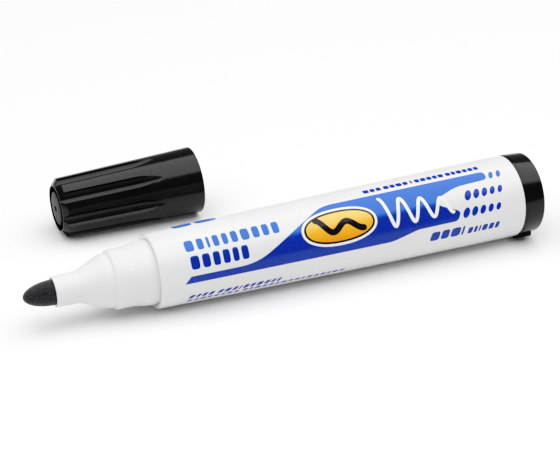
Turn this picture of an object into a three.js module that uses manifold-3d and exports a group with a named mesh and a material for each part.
// Whiteboard marker with a bullet nib. Its cap is pulled off and lies beside it on the same table.
// Millimetres, +Z up. The marker lies along X with the nib toward -X. The origin is on the table,
// under the middle of the whole set.
import * as THREE from 'three';
import { mergeVertices } from 'three/addons/utils/BufferGeometryUtils.js';
import Module from 'manifold-3d';

const wasm = await Module();
wasm.setup();

// ---- Driving dimensions ----
const FACETS = 48; // sides round every turned piece
const RADIAL_FIT = 0.15; // gap all round a piece that sits inside another
const SEAT_FIT = 0.3; // gap end to end where one piece butts on another

// Nib
const NIB_RADIUS = 2.625;
const NIB_OUT = 6.3; // stands out in front of the collar
const NIB_IN_CORE = 8; // reaches into the ink reservoir
const NIB_TAIL = 3; // tapered rear end
const NIB_TAIL_RADIUS = 1.4;
const NIB_DOME_STEPS = 7;

// Front section, from the nib end to the barrel
const COLLAR_WALL = 0.4;
const COLLAR_DRAFT = 0.14; // radius gained along the collar
const COLLAR_LENGTH = 5.1;
const CONE_LENGTH = 5.1;
const NECK_LENGTH = 1.4;
const STEP_LENGTH = 0.4;
const STEP_RISE = 0.58; // from the neck up to the cap's sealing band
const BAND_LENGTH = 3.5;
const FLARE_LENGTH = 3.2;
const FLARE_RISE = 0.55; // from the sealing band up to the skirt
const SKIRT_LENGTH = 1.7;
const SPIGOT_LENGTH = 12; // pushed into the barrel
const SECTION_WALL = 0.9;
const SLEEVE_SETBACK = 2; // from the sleeve's rear face to the barrel's front face

// Barrel
const BARREL_LENGTH = 82.8;
const BARREL_FRONT_RADIUS = 7.85;
const BARREL_REAR_RADIUS = 9;
const BARREL_BULGE = 0.2; // how far the side curves out past a straight taper
const BARREL_STEPS = 5;
const BARREL_FRONT_WALL = 0.95;
const BARREL_REAR_WALL = 1.1;
const LIP_LENGTH = 0.8; // rounded front edge
const LIP_DROP = 0.2;
const MOUTH_CHAMFER = 0.3;

// Ink reservoir
const WRAP_WALL = 0.25;
const CORE_SETBACK = 4.5; // from the reservoir's rear face to the barrel's rear face

// End plug
const PLUG_LENGTH = 4.6;
const PLUG_DRAFT = 0.2; // radius lost along the visible band
const PLUG_EDGE = 0.35; // edge break at the rear face
const PLUG_SPIGOT = 8;
const PLUG_WALL = 1.2;
const STUD_RADIUS = 3.6; // ring that presses on the reservoir
const STUD_WALL = 1.2;
const LUG_HEIGHT = 0.7; // anti-roll lug
const LUG_LENGTH = 4;
const LUG_WIDTH = 2.2;
const LUG_DRAFT = 0.3;

// Cap
const CAP_WALL = 0.6; // at the mouth
const CAP_EDGE = 0.12;
const CAP_FLOOR_WALL = 0.8; // under a groove, at the closed end
const CAP_SLACK = 0.25; // gap between the cap and the sealing band
const CAP_CHAMFER = 1.1; // length of the sloping shoulder at the closed end
const RIM_RADIUS = 5.22;
const RIM_WALL = 0.22;
const RECESS_DEPTH = 2.85; // ring-shaped well between the rim and the end disc
const WEB_THICKNESS = 1.4; // shelf that carries the inner cap
const GROOVE_COUNT = 8;
const GROOVE_DEPTH = 1.15;
const GROOVE_TOOL = 1.65; // radius of the scoop's section
const GROOVE_TURN = 42; // degrees from level to the first groove
const GROOVE_TIP = 9.2; // from the mouth to the rounded end of a groove
const GROOVE_RUNOUT = 6; // length over which a groove gets shallow
const GROOVE_STEPS = 6;
const TOOL_FACETS = 24;

// Inner cap
const INNER_WALL = 0.6;
const VENT_GAP = 0.57; // air space round the inner cap
const FLANGE_THICKNESS = 1;
const DISC_RADIUS = 3.85;
const DISC_WALL = 0.95;
const DISC_THICKNESS = 1.3;
const DISC_PROUD = 0.15; // how far the end disc stands out past the rim
const DISC_DOME = 0.15;
const DIMPLE_RADIUS = 0.35;
const TIP_ROOM = 0.5; // the wide bore goes this far past the nib's tip
const BORE_STEP = 0.5; // from the end of the wide bore to the flange's face

// Where the cap lies, measured from the middle of the barrel's front face to its mouth
const CAP_ASIDE_X = 23.7;
const CAP_ASIDE_Y = 37.7;

// ---- Sizes that follow from those above ----
const noseLength = COLLAR_LENGTH + CONE_LENGTH + NECK_LENGTH + STEP_LENGTH
  + BAND_LENGTH + FLARE_LENGTH + SKIRT_LENGTH;
const nibBore = NIB_RADIUS + RADIAL_FIT;
const collarRadius = nibBore + COLLAR_WALL;
const collarRootRadius = collarRadius + COLLAR_DRAFT;
const mouthBore = BARREL_FRONT_RADIUS - BARREL_FRONT_WALL;
const skirtRadius = mouthBore - RADIAL_FIT;
const bandRadius = skirtRadius - FLARE_RISE;
const neckRadius = bandRadius - STEP_RISE;
const spigotBore = skirtRadius - SECTION_WALL;
const rearBore = BARREL_REAR_RADIUS - BARREL_REAR_WALL;
const plugBore = rearBore - RADIAL_FIT - PLUG_WALL;
const wrapRadius = Math.min(spigotBore, plugBore) - RADIAL_FIT; // it sits in both spigots
const coreRadius = wrapRadius - WRAP_WALL - RADIAL_FIT;

// Stations along the marker, from the barrel's front face, plus toward the rear
const collarFront = -noseLength;
const collarRoot = collarFront + COLLAR_LENGTH;
const kneeStation = collarRoot + CONE_LENGTH;
const stepStation = kneeStation + NECK_LENGTH;
const bandFront = stepStation + STEP_LENGTH;
const bandRear = bandFront + BAND_LENGTH;
const flareRear = bandRear + FLARE_LENGTH;
const coreFront = -SLEEVE_SETBACK + SEAT_FIT;
const coreRear = BARREL_LENGTH - CORE_SETBACK;
const nibRear = coreFront + NIB_IN_CORE;
const plugFront = BARREL_LENGTH + SEAT_FIT;
const plugRear = plugFront + PLUG_LENGTH;

// Depths into the cap, from its mouth
const bandDepth = SKIRT_LENGTH + FLARE_LENGTH;
const kneeDepth = -kneeStation;
const collarDepth = -collarRoot;
const pocketDepth = noseLength + NIB_OUT + TIP_ROOM;
const flangeDepth = pocketDepth + BORE_STEP;
const webDepth = flangeDepth + SEAT_FIT;
const recessDepth = webDepth + WEB_THICKNESS;
const capLength = recessDepth + RECESS_DEPTH;
const discDepth = capLength + DISC_PROUD;

const capBore = skirtRadius + RADIAL_FIT;
const capMouthRadius = capBore + CAP_WALL;
const innerBore = collarRootRadius + RADIAL_FIT;
const innerRadius = innerBore + INNER_WALL;
const deepBore = innerRadius + VENT_GAP;
const capEndRadius = deepBore + CAP_FLOOR_WALL + GROOVE_DEPTH;
const capTaper = (capMouthRadius - capEndRadius) / (capLength - CAP_CHAMFER);
const wellRadius = RIM_RADIUS - RIM_WALL;

// ---- Shape tools ----

// Turns a closed outline of [station, radius] points round the X axis.
function turned(outline, facets = FACETS) {
  const points = outline.map(([station, radius]) => new THREE.Vector2(radius, station));
  return new THREE.LatheGeometry(points, facets).rotateZ(-Math.PI / 2);
}

// Turns an outline that bounds a ring-shaped piece, which closes on its own first point.
function turnedRing(outline) {
  return turned([...outline, outline[0]]);
}

function toSolid(geometry) {
  const bare = geometry.clone();
  bare.deleteAttribute('normal');
  bare.deleteAttribute('uv');
  const merged = mergeVertices(bare, 1e-4);
  const corners = merged.index.array;
  const triangles = [];
  for (let i = 0; i < corners.length; i += 3) {
    const triangle = [corners[i], corners[i + 1], corners[i + 2]];
    if (new Set(triangle).size === 3) triangles.push(...triangle);
  }
  return new wasm.Manifold(new wasm.Mesh({
    numProp: 3,
    vertProperties: merged.attributes.position.array,
    triVerts: new Uint32Array(triangles),
  }));
}

function fromSolid(solid) {
  const mesh = solid.getMesh();
  const geometry = new THREE.BufferGeometry();
  geometry.setAttribute('position', new THREE.BufferAttribute(mesh.vertProperties, 3));
  geometry.setIndex(new THREE.BufferAttribute(mesh.triVerts, 1));
  geometry.computeVertexNormals();
  return geometry;
}

function piece(name, geometry, color, roughness, metalness = 0) {
  const material = new THREE.MeshStandardMaterial({ color, roughness, metalness });
  const mesh = new THREE.Mesh(geometry, material);
  mesh.name = name;
  return mesh;
}

// ---- Marker pieces ----

function nib() {
  const outline = [[collarFront - NIB_OUT, 0]];
  for (let step = 1; step <= NIB_DOME_STEPS; step += 1) {
    const angle = (Math.PI / 2) * (step / NIB_DOME_STEPS);
    outline.push([collarFront - NIB_OUT * Math.cos(angle), NIB_RADIUS * Math.sin(angle)]);
  }
  outline.push([nibRear - NIB_TAIL, NIB_RADIUS], [nibRear, NIB_TAIL_RADIUS], [nibRear, 0]);
  return piece('nib', turned(outline), 0x2b2b2e, 0.95);
}

// Nose and nib holder in one moulding: collar, cone, sealing band, skirt, and a spigot in the barrel.
function frontSection() {
  const shellRadius = neckRadius - SECTION_WALL;
  const sleeveRadius = (nibBore + shellRadius) / 2; // half the room goes to the sleeve, half is hollow
  const outside = [
    [collarFront, nibBore],
    [collarFront, collarRadius],
    [collarRoot, collarRootRadius],
    [kneeStation, neckRadius],
    [stepStation, neckRadius],
    [bandFront, bandRadius],
    [bandRear, bandRadius],
    [flareRear, skirtRadius],
    [SPIGOT_LENGTH, skirtRadius],
  ];
  const inside = [
    [SPIGOT_LENGTH, spigotBore],
    [-SLEEVE_SETBACK, spigotBore],
    [bandRear, bandRadius - SECTION_WALL],
    [bandFront, bandRadius - SECTION_WALL],
    [kneeStation, shellRadius],
    [kneeStation, sleeveRadius],
    [-SLEEVE_SETBACK, sleeveRadius],
    [-SLEEVE_SETBACK, nibBore],
  ];
  return piece('front_section', turnedRing([...outside, ...inside]), 0xf2f2f3, 0.45);
}

function barrelRadius(station) {
  const share = station / BARREL_LENGTH;
  const straight = BARREL_FRONT_RADIUS + (BARREL_REAR_RADIUS - BARREL_FRONT_RADIUS) * share;
  return straight + BARREL_BULGE * 4 * share * (1 - share);
}

function barrel() {
  const outside = [
    [0, mouthBore + MOUTH_CHAMFER],
    [0, barrelRadius(LIP_LENGTH) - LIP_DROP],
  ];
  for (let step = 0; step <= BARREL_STEPS; step += 1) {
    const station = LIP_LENGTH + (BARREL_LENGTH - LIP_LENGTH) * (step / BARREL_STEPS);
    outside.push([station, barrelRadius(station)]);
  }
  const inside = [
    [BARREL_LENGTH, rearBore],
    [BARREL_LENGTH - PLUG_SPIGOT, rearBore],
    [SPIGOT_LENGTH, mouthBore],
    [MOUTH_CHAMFER, mouthBore],
  ];
  return piece('barrel', turnedRing([...outside, ...inside]), 0xf4f4f5, 0.3);
}

function inkReservoir() {
  const socketRadius = NIB_RADIUS + RADIAL_FIT;
  const socketFloor = nibRear + SEAT_FIT;
  const outline = [
    [socketFloor, 0],
    [socketFloor, socketRadius],
    [coreFront, socketRadius],
    [coreFront, coreRadius],
    [coreRear, coreRadius],
    [coreRear, 0],
  ];
  return piece('ink_reservoir', turned(outline), 0x1b1c22, 0.95);
}

function reservoirWrap() {
  const outline = [
    [coreFront, wrapRadius - WRAP_WALL],
    [coreFront, wrapRadius],
    [coreRear, wrapRadius],
    [coreRear, wrapRadius - WRAP_WALL],
  ];
  return piece('reservoir_wrap', turnedRing(outline), 0xd9dde0, 0.2);
}

// The lug leans toward -Y, so far that its lower corner rests on the same table as the barrel.
function antiRollLug() {
  const crest = BARREL_REAR_RADIUS + LUG_HEIGHT;
  const root = BARREL_REAR_RADIUS - PLUG_WALL;
  const shape = new THREE.Shape();
  shape.moveTo(plugFront, root);
  shape.lineTo(plugFront + LUG_LENGTH, root);
  shape.lineTo(plugFront + LUG_LENGTH - LUG_DRAFT, crest);
  shape.lineTo(plugFront + LUG_DRAFT, crest);
  const lug = new THREE.ExtrudeGeometry(shape, { depth: LUG_WIDTH, bevelEnabled: false });
  lug.translate(0, 0, -LUG_WIDTH / 2);
  const cornerReach = Math.hypot(crest, LUG_WIDTH / 2);
  const lean = Math.acos(BARREL_REAR_RADIUS / cornerReach) + Math.atan(LUG_WIDTH / 2 / crest);
  return lug.rotateX(-(Math.PI / 2 + lean));
}

function endPlug() {
  const spigotFront = plugFront - PLUG_SPIGOT;
  const studFace = coreRear + SEAT_FIT;
  const studBore = STUD_RADIUS - STUD_WALL;
  const outline = [
    [plugFront, 0],
    [plugFront, studBore],
    [studFace, studBore],
    [studFace, STUD_RADIUS],
    [plugFront, STUD_RADIUS],
    [plugFront, plugBore],
    [spigotFront, plugBore],
    [spigotFront, rearBore - RADIAL_FIT],
    [plugFront, rearBore - RADIAL_FIT],
    [plugFront, BARREL_REAR_RADIUS],
    [plugRear - PLUG_EDGE, BARREL_REAR_RADIUS - PLUG_DRAFT],
    [plugRear, BARREL_REAR_RADIUS - PLUG_DRAFT - PLUG_EDGE],
    [plugRear, 0],
  ];
  const solid = toSolid(turned(outline)).add(toSolid(antiRollLug()));
  return piece('end_plug', fromSolid(solid), 0x141416, 0.25);
}

// ---- Cap pieces; stations are minus the depth from the mouth ----

// Scoop-shaped cutter: round in section, thinning toward the mouth until it leaves the cap's side.
function grooveCutter() {
  const clear = GROOVE_TOOL - GROOVE_DEPTH; // height of the tool's axis above the cap's side
  const outline = [[-capLength - 1, 0], [-capLength - 1, GROOVE_TOOL]];
  for (let step = 0; step <= GROOVE_STEPS; step += 1) {
    const share = step / GROOVE_STEPS;
    const reach = clear + GROOVE_DEPTH * Math.cos((Math.PI / 2) * share);
    outline.push([-GROOVE_TIP - GROOVE_RUNOUT * (1 - share), reach]);
  }
  outline.push([-GROOVE_TIP, 0]);
  const cutter = turned(outline, TOOL_FACETS);
  cutter.rotateY(-Math.atan(capTaper));
  return cutter.translate(0, 0, capMouthRadius + clear);
}

function capShell() {
  const outside = [
    [-capLength, wellRadius],
    [-capLength, RIM_RADIUS],
    [-capLength + CAP_CHAMFER, capEndRadius],
    [-CAP_EDGE, capMouthRadius],
    [0, capMouthRadius - CAP_EDGE],
  ];
  const inside = [
    [0, capBore + CAP_EDGE],
    [-CAP_EDGE, capBore],
    [-SKIRT_LENGTH, capBore],
    [-bandDepth, bandRadius + CAP_SLACK],
    [-kneeDepth, bandRadius + CAP_SLACK],
    [-collarDepth, deepBore],
    [-webDepth, deepBore],
    [-webDepth, DISC_RADIUS + RADIAL_FIT],
    [-recessDepth, DISC_RADIUS + RADIAL_FIT],
    [-recessDepth, wellRadius],
  ];
  let solid = toSolid(turnedRing([...outside, ...inside]));
  for (let groove = 0; groove < GROOVE_COUNT; groove += 1) {
    // A turn of zero lies level, toward -Y; the cutter itself is made straight up.
    const turn = 90 - GROOVE_TURN + (360 / GROOVE_COUNT) * groove;
    const cutter = grooveCutter().rotateX(THREE.MathUtils.degToRad(turn));
    solid = solid.subtract(toSolid(cutter));
  }
  return piece('cap_shell', fromSolid(solid), 0x141416, 0.25);
}

// Sealing tube that grips the collar. Its closed end shows through the cap's end as a domed disc.
function capInner() {
  const mouthDepth = collarDepth + SEAT_FIT;
  const flangeFoot = flangeDepth - FLANGE_THICKNESS;
  const floorDepth = discDepth - DISC_THICKNESS;
  const outline = [
    [-discDepth + DISC_DOME, 0],
    [-discDepth + DISC_DOME, DIMPLE_RADIUS],
    [-discDepth, DIMPLE_RADIUS],
    [-discDepth + DISC_DOME, DISC_RADIUS],
    [-flangeDepth, DISC_RADIUS],
    [-flangeDepth, deepBore - RADIAL_FIT],
    [-flangeFoot, deepBore - RADIAL_FIT],
    [-flangeFoot, innerRadius],
    [-mouthDepth, innerRadius],
    [-mouthDepth, innerBore],
    [-pocketDepth, innerBore],
    [-pocketDepth, DISC_RADIUS - DISC_WALL],
    [-floorDepth, DISC_RADIUS - DISC_WALL],
    [-floorDepth, 0],
  ];
  return piece('cap_inner', turned(outline), 0x1c1c1f, 0.4);
}

// ---- Assembly ----

// Leans a tapered body so that its side lies on the table, then drops it onto the table.
function layDown(pieces, smallRadius, largeRadius, length) {
  const group = new THREE.Group();
  group.add(...pieces);
  group.rotation.y = -Math.atan((largeRadius - smallRadius) / length);
  group.position.z = -new THREE.Box3().setFromObject(group, true).min.z;
  return group;
}

const marker = layDown(
  [barrel(), frontSection(), nib(), inkReservoir(), reservoirWrap(), endPlug()],
  BARREL_FRONT_RADIUS,
  BARREL_REAR_RADIUS,
  BARREL_LENGTH,
);
const cap = layDown([capShell(), capInner()], capEndRadius, capMouthRadius, capLength - CAP_CHAMFER);
cap.position.x = CAP_ASIDE_X;
cap.position.y = CAP_ASIDE_Y;

const whiteboardMarker = new THREE.Group();
whiteboardMarker.add(marker, cap);
const middle = new THREE.Box3().setFromObject(whiteboardMarker, true).getCenter(new THREE.Vector3());
whiteboardMarker.position.set(-middle.x, -middle.y, 0);

export default whiteboardMarker;
